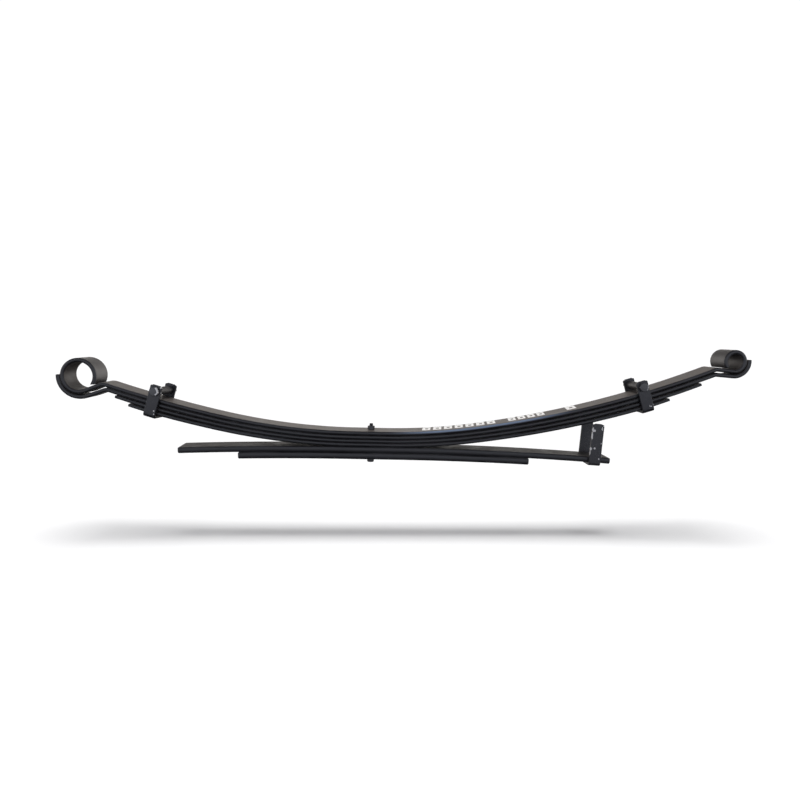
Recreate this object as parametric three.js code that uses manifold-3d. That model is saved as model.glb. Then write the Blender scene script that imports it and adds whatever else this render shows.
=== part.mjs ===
// Rear leaf spring of a pickup: four cambered main leaves over two helper leaves.
// Millimetres. +Z up, X along the spring (front eye at -X), Y across it.
// The origin is the middle of the centre bolt's head, on its bottom face.
import * as THREE from 'three';
import { mergeVertices } from 'three/addons/utils/BufferGeometryUtils.js';
import Module from 'manifold-3d';

const wasm = await Module();
wasm.setup();

// Leaves
const LEAF_WIDTH = 60;
const LEAF_THICKS = [8, 7.8, 6.8, 7.4]; // main leaf, wrapper, third and fourth
const UPPER_HELPER_THICK = 12;
const LOWER_HELPER_THICK = 13;
const EDGE_CHAMFER = 0.9;
const FIT_GAP = 0.3;
const TIP_THICK = 5.6;
const TIP_TAPER = 50;
const STATION_STEP = 24;

// Camber of each arm: a flat seat, then two arcs
const FRONT_ARM = { side: -1, seat: 30, inner: 1300, change: 300, outer: 2400, tipGap: 1.4 };
const REAR_ARM = { side: 1, seat: 30, inner: 1200, change: 200, outer: 2150, tipGap: 2.2 };

// Eyes of the main leaf, and the wrapper round the outside of each
const FRONT_EYE = { u: 570.8, z: 163.8, bore: 27, kickAt: 516, kick: 26, tipOut: 207, tipIn: 218 };
const REAR_EYE = { u: 734, z: 223.5, bore: 16, kickAt: 691, kick: 22, tipOut: 215, tipIn: 224 };
const FRONT_WRAP = { kickAt: 509, kick: 20, space: 0.4, gap: 2.6, tipGap: 0.4, up: 0.4, tip: 2 };
const REAR_WRAP = { kickAt: 687, kick: 15, space: 1.4, gap: 2.2, tipGap: 1.6, up: 0, tip: 8 };

// Leaf ends, measured along X from the centre bolt
const THIRD_LEAF = { front: 495.5, rear: 659 };
const FOURTH_LEAF = { front: 468, rear: 593 };
const UPPER_HELPER = { front: 382, rear: 488 };
const LOWER_HELPER = { front: 264, rear: 321 };
const HELPER_SEAT = 50;
const HELPER_RADIUS = 7000;

// Centre bolt
const BOLT_R = 4;
const BOLT_HEAD_R = 7;
const BOLT_HEAD_H = 9.5;
const BOLT_STUB = 5;
const CENTRE_NUT = { flats: 13, height: 7.8 };

// Clips: a strap riveted under the fourth leaf, closed over the pack by a bolt in a sleeve
const CLIP_AT = { front: 421, rear: 546.5 };
const CLIP_TWIST = { front: -7, rear: 0 };
const CLIP_WIDTH = 24;
const CLIP_THICK = 5.5;
const CLIP_INSIDE = 31.8;
const CLIP_UNDER = 1;
const CLIP_BOLT_UP = 53;
const CLIP_EAR = 12.5;
const CLIP_BOLT_R = 5;
const CLIP_SLEEVE_R = 7.8;
const CLIP_HEX = { flats: 17, head: 6.4, nut: 8.4 };
const CLIP_STUB = 2.5;
const RIVET_R = 4;
const RIVET_HEAD_R = 7.5;
const RIVET_HEAD_H = 3;

// Guide bracket under the rear end of the upper helper leaf
const GUIDE_AT = 454;
const GUIDE_WIDTH = 24;
const GUIDE_THICK = 5;
const GUIDE_INSIDE = 31.5;
const GUIDE_HEIGHT = 86;

// Liners between the leaf tips
const LINER_R = 24;
const LINER_PLAY = 0.7;
const LINER_BACK = 25;

const sum = (list) => list.reduce((total, value) => total + value, 0);

const LOWER_TOP = BOLT_HEAD_H + LOWER_HELPER_THICK;
const UPPER_TOP = LOWER_TOP + FIT_GAP + UPPER_HELPER_THICK;
const PACK_TOP = UPPER_TOP + 4 * FIT_GAP + sum(LEAF_THICKS);

const deg = (angle) => (angle * Math.PI) / 180;

const steel = new THREE.MeshStandardMaterial({ color: 0x2b2a2a, roughness: 0.45, metalness: 0.35 });
const fitting = new THREE.MeshStandardMaterial({ color: 0x242427, roughness: 0.4, metalness: 0.4 });
const boltSteel = new THREE.MeshStandardMaterial({ color: 0x3a3a3d, roughness: 0.35, metalness: 0.7 });
const plastic = new THREE.MeshStandardMaterial({ color: 0x1c1c1d, roughness: 0.7, metalness: 0 });

// A closed geometry as a solid that can be joined and cut
function toSolid(geometry) {
  const bare = new THREE.BufferGeometry();
  bare.setAttribute('position', geometry.getAttribute('position').clone());
  if (geometry.index) bare.setIndex(geometry.index.clone());
  const merged = mergeVertices(bare, 1e-4);
  const vertProperties = new Float32Array(merged.getAttribute('position').array);
  const triVerts = new Uint32Array(merged.index.array);
  return new wasm.Manifold(new wasm.Mesh({ numProp: 3, vertProperties, triVerts }));
}

function toGeometry(solid) {
  const mesh = solid.getMesh();
  const geometry = new THREE.BufferGeometry();
  geometry.setAttribute('position', new THREE.BufferAttribute(mesh.vertProperties, 3));
  geometry.setIndex(new THREE.BufferAttribute(mesh.triVerts, 1));
  const flat = geometry.toNonIndexed();
  flat.computeVertexNormals();
  return flat;
}

// A point on the top of the pack, u outwards from the centre bolt, and the slope there
function crown(arm, u) {
  const first = Math.max(Math.min(u, arm.change) - arm.seat, 0) / arm.inner;
  const second = Math.max(u - arm.change, 0) / arm.outer;
  const sine = first + second;
  const knee = Math.cos(Math.asin(first));
  const slope = Math.asin(sine);
  const rise = arm.inner * (1 - knee) + arm.outer * (knee - Math.cos(slope));
  return { u, z: PACK_TOP + rise, slope };
}

// The same point moved down, square to the leaf
function below(point, depth) {
  return new THREE.Vector2(
    point.u + depth * Math.sin(point.slope),
    point.z - depth * Math.cos(point.slope),
  );
}

// Space over a leaf: a fit gap in the clamped middle, opening towards its tip
function spaceOver(arm, u, end, most) {
  const along = Math.min(Math.max((u - arm.seat) / (end - arm.seat), 0), 1);
  return FIT_GAP + (most - FIT_GAP) * along;
}

function endOf(leaf, arm) {
  return arm.side < 0 ? leaf.front : leaf.rear;
}

// Depth of each leaf's top under the crown of the pack
function topDepth(leafNumber, arm, u) {
  const wrap = arm.side < 0 ? FRONT_WRAP : REAR_WRAP;
  let depth = sum(LEAF_THICKS.slice(0, leafNumber - 1));
  if (leafNumber > 1) depth += spaceOver(arm, u, wrap.kickAt, wrap.space);
  if (leafNumber > 2) depth += spaceOver(arm, u, endOf(THIRD_LEAF, arm), arm.tipGap);
  if (leafNumber > 3) depth += spaceOver(arm, u, endOf(FOURTH_LEAF, arm), arm.tipGap);
  return depth;
}

// Evenly spread distances from 0 to the end, one of them at each change of curvature
function stations(stops) {
  const list = [0];
  for (const stop of stops) {
    const from = list[list.length - 1];
    const count = Math.max(Math.round((stop - from) / STATION_STEP), 1);
    for (let i = 1; i <= count; i += 1) list.push(from + ((stop - from) * i) / count);
  }
  return list;
}

function polar(centre, radius, angle) {
  return new THREE.Vector2(
    centre.x + radius * Math.cos(angle),
    centre.y + radius * Math.sin(angle),
  );
}

function arcPoints(centre, radius, from, to, step) {
  const count = Math.max(Math.ceil(Math.abs(to - from) / deg(step)), 1);
  const points = [];
  for (let i = 0; i <= count; i += 1) {
    points.push(polar(centre, radius, from + ((to - from) * i) / count));
  }
  return points;
}

// The end of an arm: over a kick, straight down to the eye and round it, as a top and a bottom line
function eyeLines(start, slope, kick, centre, bore, thick, endTop, endBottom) {
  const pivot = polar(start, kick, slope - Math.PI / 2);
  const across = centre.clone().sub(pivot);
  const normal = across.angle() + Math.acos((kick + bore) / across.length());
  const leaving = slope + Math.PI / 2;
  return {
    top: [
      ...arcPoints(pivot, kick, leaving, normal, 6),
      ...arcPoints(centre, bore, normal - Math.PI, endTop, 9),
    ],
    bottom: [
      ...arcPoints(pivot, kick - thick, leaving, normal, 6),
      ...arcPoints(centre, bore + thick, normal - Math.PI, endBottom, 9),
    ],
  };
}

// Top and bottom lines of one arm of the main leaf, out to the rolled tip of its eye
function mainArm(arm, eye) {
  const list = stations([arm.seat, arm.change, eye.kickAt]).slice(0, -1);
  const last = crown(arm, eye.kickAt);
  const thick = LEAF_THICKS[0];
  const centre = new THREE.Vector2(eye.u, eye.z);
  const rolled = eyeLines(
    below(last, 0), last.slope, eye.kick, centre, eye.bore, thick, deg(eye.tipIn), deg(eye.tipOut),
  );
  return {
    top: [...list.map((u) => below(crown(arm, u), 0)), ...rolled.top],
    bottom: [...list.map((u) => below(crown(arm, u), thick)), ...rolled.bottom],
  };
}

// The second leaf follows the main leaf and wraps the outer lower quarter of its eye. It stands off
// by the wrap's gap underneath and closes in to the tip gap at its end.
function wrapperArm(arm, eye, wrap) {
  const list = stations([arm.seat, arm.change, wrap.kickAt]).slice(0, -1);
  const last = crown(arm, wrap.kickAt);
  const depth = (u) => topDepth(2, arm, u);
  const start = below(last, depth(wrap.kickAt));
  const thick = LEAF_THICKS[1];
  const centre = new THREE.Vector2(eye.u - wrap.gap + wrap.tipGap, eye.z + wrap.up);
  const bore = eye.bore + LEAF_THICKS[0] + wrap.gap;
  const rolled = eyeLines(
    start, last.slope, wrap.kick, centre, bore, thick, deg(wrap.tip), deg(wrap.tip),
  );
  return {
    top: [...list.map((u) => below(crown(arm, u), depth(u))), ...rolled.top],
    bottom: [...list.map((u) => below(crown(arm, u), depth(u) + thick)), ...rolled.bottom],
  };
}

// A plain arm, thinned from below over the last stretch of its tip
function taperedArm(arm, leafNumber, end) {
  const list = stations([arm.seat, arm.change, end - TIP_TAPER, end]);
  const depth = (u) => topDepth(leafNumber, arm, u);
  const full = LEAF_THICKS[leafNumber - 1];
  const thick = (u) => {
    const along = Math.max((u - end + TIP_TAPER) / TIP_TAPER, 0);
    return full - (full - TIP_THICK) * along;
  };
  return {
    top: list.map((u) => below(crown(arm, u), depth(u))),
    bottom: list.map((u) => below(crown(arm, u), depth(u) + thick(u))),
  };
}

// A helper arm: flat in the seat, then a long arc that falls away
function helperArm(top, thick, end) {
  const list = stations([HELPER_SEAT, end]).map((u) => {
    const sine = Math.max(u - HELPER_SEAT, 0) / HELPER_RADIUS;
    const slope = -Math.asin(sine);
    return { u, z: top - HELPER_RADIUS * (1 - Math.cos(slope)), slope };
  });
  return {
    top: list.map((point) => below(point, 0)),
    bottom: list.map((point) => below(point, thick)),
  };
}

// Both arms as one outline, extruded across the spring with its long edges broken
function leafGeometry(front, rear) {
  const mirror = (point) => new THREE.Vector2(-point.x, point.y);
  const outline = [
    ...front.top.slice(1).reverse().map(mirror),
    ...rear.top,
    ...rear.bottom.slice(1).reverse(),
    ...front.bottom.map(mirror),
  ];
  const geometry = new THREE.ExtrudeGeometry(new THREE.Shape(outline), {
    depth: LEAF_WIDTH - 2 * EDGE_CHAMFER,
    bevelThickness: EDGE_CHAMFER,
    bevelSize: EDGE_CHAMFER,
    bevelOffset: -EDGE_CHAMFER,
    bevelSegments: 1,
  });
  geometry.rotateX(Math.PI / 2);
  geometry.translate(0, LEAF_WIDTH / 2 - EDGE_CHAMFER, 0);
  return geometry;
}

// An upright round bar between two heights
function post(radius, from, to) {
  const geometry = new THREE.CylinderGeometry(radius, radius, to - from, 36);
  geometry.rotateX(Math.PI / 2);
  geometry.translate(0, 0, (from + to) / 2);
  return geometry;
}

// A round bar across the spring between two distances
function crossbar(radius, from, to) {
  const geometry = new THREE.CylinderGeometry(radius, radius, to - from, 36);
  geometry.translate(0, (from + to) / 2, 0);
  return geometry;
}

// A turned shape about Y from (radius, distance) pairs
function turned(profile) {
  return new THREE.LatheGeometry(profile.map(([r, y]) => new THREE.Vector2(r, y)), 48);
}

// A hexagon about Y with both end faces chamfered round
function hexagon(flats, from, to, chamferFrom, chamferTo) {
  const corner = flats / Math.sqrt(3);
  const prism = new THREE.CylinderGeometry(corner, corner, to - from, 6);
  prism.translate(0, (from + to) / 2, 0);
  const face = flats / 2 - 0.2;
  const drop = (corner - face) * 0.55;
  const round = turned([
    [0, from],
    [chamferFrom ? face : corner + 1, from],
    [corner + 0.05, chamferFrom ? from + drop : from],
    [corner + 0.05, chamferTo ? to - drop : to],
    [chamferTo ? face : corner + 1, to],
    [0, to],
  ]);
  return toSolid(prism).intersect(toSolid(round));
}

// Where a fitting sits on an arm: the crown point, tilted with the leaves
function onArm(arm, u) {
  const point = crown(arm, u);
  const tilt = new THREE.Matrix4().makeRotationY(-arm.side * point.slope);
  return tilt.setPosition(arm.side * point.u, 0, point.z);
}

// The middle of the space over a leaf's tip, tilted with the two leaves it parts
function linerFrame(arm, leafNumber, end) {
  const at = (u) => {
    const space = spaceOver(arm, u, end, arm.tipGap);
    return below(crown(arm, u), topDepth(leafNumber, arm, u) - space / 2);
  };
  const inner = at(end - LINER_BACK - LINER_R);
  const outer = at(end - LINER_BACK + LINER_R);
  const slope = outer.clone().sub(inner).angle();
  const centre = inner.add(outer).multiplyScalar(0.5);
  const tilt = new THREE.Matrix4().makeRotationY(-arm.side * slope);
  return tilt.setPosition(arm.side * centre.x, 0, centre.y);
}

function helperFrame(u) {
  const slope = Math.asin((u - HELPER_SEAT) / HELPER_RADIUS);
  const tilt = new THREE.Matrix4().makeRotationY(slope);
  return tilt.setPosition(u, 0, UPPER_TOP - HELPER_RADIUS * (1 - Math.cos(slope)));
}

// A U-shaped strap, open at the top, whose outer corners and end corners are rounded
function strap(inside, thick, width, bottom, top, topCorner) {
  const out = inside + thick;
  const section = new THREE.Shape();
  const bend = thick + 1.5;
  section.moveTo(-out, top);
  section.lineTo(-out, bottom + bend);
  section.absarc(-out + bend, bottom + bend, bend, Math.PI, 1.5 * Math.PI, false);
  section.lineTo(out - bend, bottom);
  section.absarc(out - bend, bottom + bend, bend, 1.5 * Math.PI, 2 * Math.PI, false);
  section.lineTo(out, top);
  section.lineTo(inside, top);
  section.lineTo(inside, bottom + bend);
  section.absarc(inside - 1.5, bottom + bend, 1.5, 0, -0.5 * Math.PI, true);
  section.lineTo(-inside + 1.5, bottom + thick);
  section.absarc(-inside + 1.5, bottom + bend, 1.5, 1.5 * Math.PI, Math.PI, true);
  section.lineTo(-inside, top);
  const across = new THREE.ExtrudeGeometry(section, {
    depth: width,
    bevelEnabled: false,
    curveSegments: 8,
  });
  across.translate(0, 0, -width / 2);
  across.rotateX(Math.PI / 2);
  across.rotateZ(Math.PI / 2);

  const side = new THREE.Shape();
  const half = width / 2;
  side.moveTo(-half, bottom - 1);
  side.lineTo(half, bottom - 1);
  side.lineTo(half, top - topCorner);
  side.absarc(half - topCorner, top - topCorner, topCorner, 0, Math.PI / 2, false);
  side.absarc(-half + topCorner, top - topCorner, topCorner, Math.PI / 2, Math.PI, false);
  const along = new THREE.ExtrudeGeometry(side, {
    depth: 2 * out + 2,
    bevelEnabled: false,
    curveSegments: 10,
  });
  along.rotateX(Math.PI / 2);
  along.translate(0, out + 1, 0);
  return toSolid(across).intersect(toSolid(along));
}

// A rivet from a domed head under a plate up to a flat end inside the leaf
function rivet(headTop, end) {
  const dome = [];
  for (let i = 0; i <= 8; i += 1) {
    const angle = deg(90 * (i / 8));
    dome.push([RIVET_HEAD_R * Math.sin(angle), headTop - RIVET_HEAD_H * Math.cos(angle)]);
  }
  const geometry = turned([...dome, [RIVET_R, headTop], [RIVET_R, end], [0, end]]);
  geometry.rotateX(Math.PI / 2);
  return geometry;
}

const group = new THREE.Group();
group.name = 'leaf_spring';

function add(name, shape, material, frame) {
  const geometry = shape.isBufferGeometry ? shape : toGeometry(shape);
  if (frame) geometry.applyMatrix4(frame);
  const mesh = new THREE.Mesh(geometry, material);
  mesh.name = name;
  group.add(mesh);
}

function moved(geometry, frame) {
  geometry.applyMatrix4(frame);
  return toSolid(geometry);
}

// Heights of a clip's parts over the crown where it sits
function clipLevels(arm, u) {
  const leafTop = -topDepth(4, arm, u);
  const baseTop = leafTop - LEAF_THICKS[3] - CLIP_UNDER;
  const baseBottom = baseTop - CLIP_THICK;
  return { leafTop, baseTop, baseBottom, bolt: baseBottom + CLIP_BOLT_UP };
}

const arms = [
  { name: 'front', arm: FRONT_ARM, at: CLIP_AT.front, twist: CLIP_TWIST.front },
  { name: 'rear', arm: REAR_ARM, at: CLIP_AT.rear, twist: CLIP_TWIST.rear },
];

// Leaves, each with its hole for the centre bolt
const boltHole = toSolid(post(BOLT_R + FIT_GAP, -5, PACK_TOP + 20));
const leafSolid = (front, rear) => toSolid(leafGeometry(front, rear)).subtract(boltHole);

const fourthEnds = arms.map(({ arm }) => taperedArm(arm, 4, endOf(FOURTH_LEAF, arm)));
let fourthLeaf = leafSolid(...fourthEnds);
for (const { arm, at } of arms) {
  const hole = moved(post(RIVET_R + FIT_GAP, -80, 0), onArm(arm, at));
  fourthLeaf = fourthLeaf.subtract(hole);
}
const guideFrame = helperFrame(GUIDE_AT);
const guideHole = moved(post(RIVET_R + FIT_GAP, -40, 10), guideFrame);
const upperHelper = leafSolid(
  helperArm(UPPER_TOP, UPPER_HELPER_THICK, UPPER_HELPER.front),
  helperArm(UPPER_TOP, UPPER_HELPER_THICK, UPPER_HELPER.rear),
).subtract(guideHole);

add('main_leaf', leafSolid(mainArm(FRONT_ARM, FRONT_EYE), mainArm(REAR_ARM, REAR_EYE)), steel);
add('wrapper_leaf', leafSolid(
  wrapperArm(FRONT_ARM, FRONT_EYE, FRONT_WRAP),
  wrapperArm(REAR_ARM, REAR_EYE, REAR_WRAP),
), steel);
add('third_leaf', leafSolid(
  taperedArm(FRONT_ARM, 3, THIRD_LEAF.front),
  taperedArm(REAR_ARM, 3, THIRD_LEAF.rear),
), steel);
add('fourth_leaf', fourthLeaf, steel);
add('upper_helper_leaf', upperHelper, steel);
add('lower_helper_leaf', leafSolid(
  helperArm(LOWER_TOP, LOWER_HELPER_THICK, LOWER_HELPER.front),
  helperArm(LOWER_TOP, LOWER_HELPER_THICK, LOWER_HELPER.rear),
), steel);

// Centre bolt and its nut
const nutBase = PACK_TOP + FIT_GAP;
const boltTop = nutBase + CENTRE_NUT.height + BOLT_STUB;
const centreBolt = turned([
  [0, 0],
  [BOLT_HEAD_R - 1, 0],
  [BOLT_HEAD_R, 1],
  [BOLT_HEAD_R, BOLT_HEAD_H - FIT_GAP],
  [BOLT_R, BOLT_HEAD_H - FIT_GAP],
  [BOLT_R, boltTop - 1],
  [BOLT_R - 1, boltTop],
  [0, boltTop],
]);
centreBolt.rotateX(Math.PI / 2);
add('centre_bolt', centreBolt, boltSteel);
const upright = new THREE.Matrix4().makeRotationX(Math.PI / 2);
const centreNut = hexagon(CENTRE_NUT.flats, nutBase, nutBase + CENTRE_NUT.height, false, true)
  .subtract(toSolid(crossbar(BOLT_R + FIT_GAP, nutBase - 1, boltTop)));
add('centre_bolt_nut', centreNut, boltSteel, upright);

// Clips
for (const { name, arm, at, twist } of arms) {
  const frame = onArm(arm, at).multiply(new THREE.Matrix4().makeRotationZ(deg(twist)));
  const level = clipLevels(arm, at);
  const up = new THREE.Matrix4().makeTranslation(0, 0, level.bolt);
  const boltFrame = frame.clone().multiply(up);
  const out = CLIP_INSIDE + CLIP_THICK;

  const bore = crossbar(CLIP_BOLT_R + FIT_GAP, -out - 5, out + 5);
  bore.applyMatrix4(up);
  const earTop = level.bolt + CLIP_EAR;
  const clipStrap = strap(CLIP_INSIDE, CLIP_THICK, CLIP_WIDTH, level.baseBottom, earTop, 4)
    .subtract(toSolid(bore))
    .subtract(toSolid(post(RIVET_R + FIT_GAP, level.baseBottom - 5, level.baseTop + 5)));
  add(`${name}_clip_strap`, clipStrap, fitting, frame);

  const headFace = -out - FIT_GAP;
  const nutFace = out + FIT_GAP;
  const boltEnd = nutFace + CLIP_HEX.nut + CLIP_STUB;
  const shank = turned([
    [0, headFace - 1],
    [CLIP_BOLT_R, headFace - 1],
    [CLIP_BOLT_R, boltEnd - 1],
    [CLIP_BOLT_R - 1, boltEnd],
    [0, boltEnd],
  ]);
  const clipBolt = hexagon(CLIP_HEX.flats, headFace - CLIP_HEX.head, headFace, true, false)
    .add(toSolid(shank));
  add(`${name}_clip_bolt`, clipBolt, boltSteel, boltFrame);

  const clipNut = hexagon(CLIP_HEX.flats, nutFace, nutFace + CLIP_HEX.nut, false, true)
    .subtract(toSolid(crossbar(CLIP_BOLT_R + FIT_GAP, out - 1, boltEnd)));
  add(`${name}_clip_nut`, clipNut, boltSteel, boltFrame);

  const sleeveEnd = CLIP_INSIDE - FIT_GAP;
  const sleeve = toSolid(crossbar(CLIP_SLEEVE_R, -sleeveEnd, sleeveEnd))
    .subtract(toSolid(crossbar(CLIP_BOLT_R + FIT_GAP, -out, out)));
  add(`${name}_clip_sleeve`, sleeve, fitting, boltFrame);

  add(`${name}_clip_rivet`, rivet(level.baseBottom - FIT_GAP, level.leafTop - 1), fitting, frame);

  for (const [leaf, number, ends] of [['third', 3, THIRD_LEAF], ['fourth', 4, FOURTH_LEAF]]) {
    const thick = arm.tipGap - LINER_PLAY;
    const liner = post(LINER_R, -thick / 2, thick / 2);
    add(`${name}_${leaf}_tip_liner`, liner, plastic, linerFrame(arm, number, endOf(ends, arm)));
  }
}

// Guide bracket and its rivet
const guideTop = -UPPER_HELPER_THICK - FIT_GAP;
const guideBottom = guideTop - GUIDE_THICK;
const guide = strap(
  GUIDE_INSIDE, GUIDE_THICK, GUIDE_WIDTH, guideBottom, guideBottom + GUIDE_HEIGHT, 5,
).subtract(toSolid(post(RIVET_R + FIT_GAP, guideBottom - 5, guideTop + 5)));
add('helper_guide_bracket', guide, fitting, guideFrame);
const guideRivet = rivet(guideBottom - FIT_GAP, -1);
add('helper_guide_rivet', guideRivet, fitting, guideFrame);

export default group;
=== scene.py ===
"""Rear leaf spring of a pickup: the visual model, built round the CAD frame.

Shapes are worked out in millimetres in the row frame and scaled to metres when a mesh is made.
"""

import math

import bmesh
import bpy
from mathutils import Matrix, Vector


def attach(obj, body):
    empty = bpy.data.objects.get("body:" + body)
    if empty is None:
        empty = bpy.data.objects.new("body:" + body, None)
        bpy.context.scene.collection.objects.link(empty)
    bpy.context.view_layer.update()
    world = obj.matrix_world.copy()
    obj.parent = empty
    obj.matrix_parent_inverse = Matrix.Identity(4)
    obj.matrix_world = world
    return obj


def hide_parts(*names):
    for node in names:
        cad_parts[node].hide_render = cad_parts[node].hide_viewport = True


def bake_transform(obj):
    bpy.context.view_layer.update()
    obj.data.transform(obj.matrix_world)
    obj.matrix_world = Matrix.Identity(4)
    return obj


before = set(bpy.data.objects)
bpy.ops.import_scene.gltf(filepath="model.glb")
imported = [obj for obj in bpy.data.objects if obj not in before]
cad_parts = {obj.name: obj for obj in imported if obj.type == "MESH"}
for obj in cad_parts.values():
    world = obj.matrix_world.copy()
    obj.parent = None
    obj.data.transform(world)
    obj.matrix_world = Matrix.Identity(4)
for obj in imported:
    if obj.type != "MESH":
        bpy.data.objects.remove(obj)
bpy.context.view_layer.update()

MM = 0.001
X, Y = Vector((1, 0, 0)), Vector((0, 1, 0))

# ---------------------------------------------------------------- dimensions

ENDS = {-1: "front", 1: "rear"}  # the two sides of the centre bolt along X

LEAF_WIDTH = 60
LEAF_THICKS = (8, 7.8, 6.8, 7.4)  # main leaf, wrapper, third and fourth
UPPER_HELPER_THICK = 12
LOWER_HELPER_THICK = 13
FIT_GAP = 0.3
TIP_THICK = 5.6
TIP_TAPER = 50

FRONT_ARM = {"side": -1, "seat": 30, "inner": 1300, "change": 300, "outer": 2400, "tip_gap": 1.4}
REAR_ARM = {"side": 1, "seat": 30, "inner": 1200, "change": 200, "outer": 2150, "tip_gap": 2.2}
FRONT_EYE = {"u": 570.8, "z": 163.8, "bore": 27, "kick_at": 516, "kick": 26, "tips": (218, 207), "swell": 0}
REAR_EYE = {"u": 734, "z": 223.5, "bore": 16, "kick_at": 691, "kick": 22, "tips": (224, 215), "swell": 0.8}
FRONT_WRAP = {"kick_at": 509, "kick": 20, "space": 0.4, "gap": 2.6, "tip_gap": 0.4, "up": 0.4, "tip": 2}
REAR_WRAP = {"kick_at": 687, "kick": 15, "space": 1.4, "gap": 2.2, "tip_gap": 1.6, "up": 0, "tip": 8}
THIRD_LEAF = {-1: 495.5, 1: 659}
FOURTH_LEAF = {-1: 468, 1: 593}
UPPER_HELPER = {-1: 382, 1: 488}
LOWER_HELPER = {-1: 264, 1: 321}
HELPER_SEAT = 50
HELPER_RADIUS = 7000

BOLT_R, BOLT_HEAD_R, BOLT_HEAD_H, BOLT_STUB = 4, 7, 9.5, 5
CENTRE_NUT_FLATS, CENTRE_NUT_H = 13, 7.8
CLIP_AT = {-1: 421, 1: 546.5}
CLIP_TWIST = {-1: -7, 1: 0}
CLIP_WIDTH, CLIP_THICK, CLIP_INSIDE, CLIP_UNDER = 24, 5.5, 31.8, 1
CLIP_BOLT_UP, CLIP_EAR = 53, 12.5
CLIP_BOLT_R, CLIP_SLEEVE_R, CLIP_STUB = 5, 7.8, 2.5
CLIP_FLATS, CLIP_HEAD_H, CLIP_NUT_H = 17, 6.4, 8.4
CLIP_CORNER, GUIDE_CORNER = 4, 5
NUT_PLAY = 0.05
HEAD_TURN = math.radians(12)
RIVET_R, RIVET_HEAD_R, RIVET_HEAD_H = 4, 7.5, 3
GUIDE_AT, GUIDE_WIDTH, GUIDE_THICK, GUIDE_INSIDE, GUIDE_HEIGHT = 454, 24, 5, 31.5, 86
LINER_R, LINER_PLAY, LINER_BACK = 24, 0.7, 25

LOWER_TOP = BOLT_HEAD_H + LOWER_HELPER_THICK
UPPER_TOP = LOWER_TOP + FIT_GAP + UPPER_HELPER_THICK
PACK_TOP = UPPER_TOP + 4 * FIT_GAP + sum(LEAF_THICKS)

# Each arm's bend zone runs from its seat to these distances, stiff from there outwards; here they are only
# carried along with the main leaf pieces, which nothing bends.
BEND_END = {-1: 400, 1: 524}

SIDE_BULGE = math.radians(15)  # how far a flat bar's side turns up and down from square
MOST_CORNER = 0.62  # a bar's corner takes up at most this part of half its thickness
CORNER_STEPS = 5
KICK_STEPS = 12
STRAIGHT_STEPS = 5
EYE_STEP = math.radians(4)
TIP_CUT_FROM = 0.9  # how far round an eye the slanted cut of its tip begins
STATION_STEP = 8

# ---------------------------------------------------------------- leaf curves


def crown(arm, u):
    """(u, z, slope) on the top of the pack, u mm outwards from the centre bolt."""
    first = max(min(u, arm["change"]) - arm["seat"], 0) / arm["inner"]
    second = max(u - arm["change"], 0) / arm["outer"]
    knee = math.cos(math.asin(first))
    slope = math.asin(first + second)
    rise = arm["inner"] * (1 - knee) + arm["outer"] * (knee - math.cos(slope))
    return u, PACK_TOP + rise, slope


def below(point, depth):
    """The point moved down square to the leaf, as a 2D vector (outwards, up)."""
    u, z, slope = point
    return Vector((u + depth * math.sin(slope), z - depth * math.cos(slope)))


def space_over(arm, u, end, most):
    """Space above a leaf, which grows from a fit gap at the seat to the most at its end."""
    along = min(max((u - arm["seat"]) / (end - arm["seat"]), 0), 1)
    return FIT_GAP + (most - FIT_GAP) * along


def top_depth(number, arm, u):
    """Depth of a main leaf's top under the top of the pack."""
    side = arm["side"]
    wrap = FRONT_WRAP if side < 0 else REAR_WRAP
    depth = sum(LEAF_THICKS[: number - 1])
    if number > 1:
        depth += space_over(arm, u, wrap["kick_at"], wrap["space"])
    if number > 2:
        depth += space_over(arm, u, THIRD_LEAF[side], arm["tip_gap"])
    if number > 3:
        depth += space_over(arm, u, FOURTH_LEAF[side], arm["tip_gap"])
    return depth


def spread(stops, step):
    """Distances from the first stop to the last, about a step apart, with every stop among them."""
    out = [stops[0]]
    for stop in stops[1:]:
        start = out[-1]
        count = max(round((stop - start) / step), 1)
        out += [start + (stop - start) * (i + 1) / count for i in range(count)]
    return out


def polar(centre, radius, angle):
    return centre + Vector((math.cos(angle), math.sin(angle))) * radius


def round_eye(start, slope, kick, centre, bore, thick, ends, swell=0.0):
    """(top, bottom) pairs over a kick, down a straight and round an eye.

    ends holds the angles where the top and the bottom stop, and the wall swells inwards by swell.
    """
    pivot = polar(start, kick, slope - math.pi / 2)
    across = centre - pivot
    normal = math.atan2(across.y, across.x) + math.acos((kick + bore) / across.length)
    pairs = []
    leaving = slope + math.pi / 2
    for i in range(KICK_STEPS + 1):
        angle = leaving + (normal - leaving) * i / KICK_STEPS
        pairs.append((polar(pivot, kick, angle), polar(pivot, kick - thick, angle)))
    kick_end = pairs[-1]
    begin = normal - math.pi
    eye_start = (polar(centre, bore, begin), polar(centre, bore + thick, begin))
    for i in range(1, STRAIGHT_STEPS):
        pairs.append(tuple(a.lerp(b, i / STRAIGHT_STEPS) for a, b in zip(kick_end, eye_start)))
    end_top, end_bottom = ends
    square_end = min(ends)
    count = int((end_top - begin) / EYE_STEP)
    for i in range(count + 1):
        part = i / count
        late = max((part - TIP_CUT_FROM) / (1 - TIP_CUT_FROM), 0)
        plain = begin + (square_end - begin) * part
        top = plain + (end_top - square_end) * late
        bottom = plain + (end_bottom - square_end) * late
        inner = bore - swell * min(4 * part, 1)
        pairs.append((polar(centre, inner, top), polar(centre, bore + thick, bottom)))
    return pairs


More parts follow.
